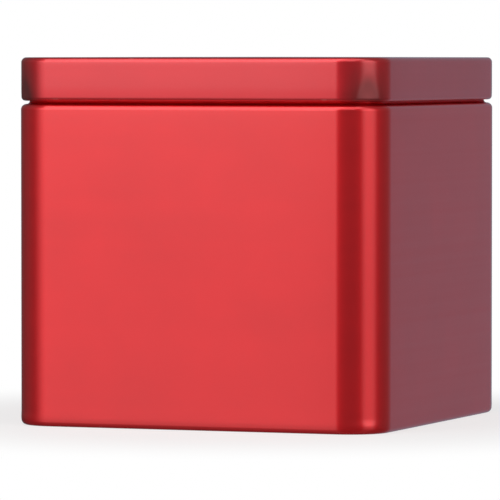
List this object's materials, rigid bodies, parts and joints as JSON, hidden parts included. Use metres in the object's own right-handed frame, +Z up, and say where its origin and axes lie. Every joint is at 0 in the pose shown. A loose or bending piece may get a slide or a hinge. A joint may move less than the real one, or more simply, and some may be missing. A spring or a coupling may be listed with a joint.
{
  "type": "ink pad",
  "caption": "Square ink pad in a deep lacquered tin: slip lid over a lift-out tray with a cloth-covered felt pad, sponge reservoir and clear cover film.",
  "frame": {"origin": "centre of the square base, on the plane that the tin stands on", "axes": "+Z up, out through the lid; -Y towards the plain front; +Y towards the wall's lock seam; +X to the right"},
  "size_m": [0.076, 0.076, 0.0714],
  "materials": {
    "red_lacquer": "satin metallic lacquer",
    "bare_tinplate": "bright tinplate",
    "sealing_compound": "matte",
    "label_paper": "uncoated",
    "pedestal_plastic": "fine texture",
    "foam_tape": "matte foam",
    "tray_plastic": "satin",
    "sponge": "open cell, ink soaked",
    "wick_plastic": "satin",
    "inked_felt": "dense felt, ink soaked",
    "inked_cloth": "plain weave, damp",
    "clear_film": "clear",
    "liner_foam": "closed-cell foam"
  },
  "bodies": {
    "tin": {"tin_wall": "red_lacquer", "bottom_panel": "bare_tinplate", "bottom_seal": "sealing_compound", "base_label": "label_paper", "pedestal": "pedestal_plastic", "pedestal_tape": "foam_tape"},
    "tray": {"ink_tray": "tray_plastic", "reservoir_foam": "sponge", "wick_plate": "wick_plastic", "felt_pad": "inked_felt", "pad_cloth": "inked_cloth", "tray_frame": "tray_plastic"},
    "film": {"cover_film": "clear_film"},
    "lid": {"lid_shell": "red_lacquer", "lid_liner": "liner_foam"}
  },
  "joints": [
    {"name": "tray_lift", "type": "slide", "parent": "tin", "child": "tray", "axis": [0, 0, 1], "range_m": [0, 0.03]},
    {"name": "film_lift", "type": "slide", "parent": "tray", "child": "film", "axis": [0, 0, 1], "range_m": [0, 0.02]},
    {"name": "lid_lift", "type": "slide", "parent": "film", "child": "lid", "axis": [0, 0, 1], "range_m": [0, 0.05]}
  ]
}
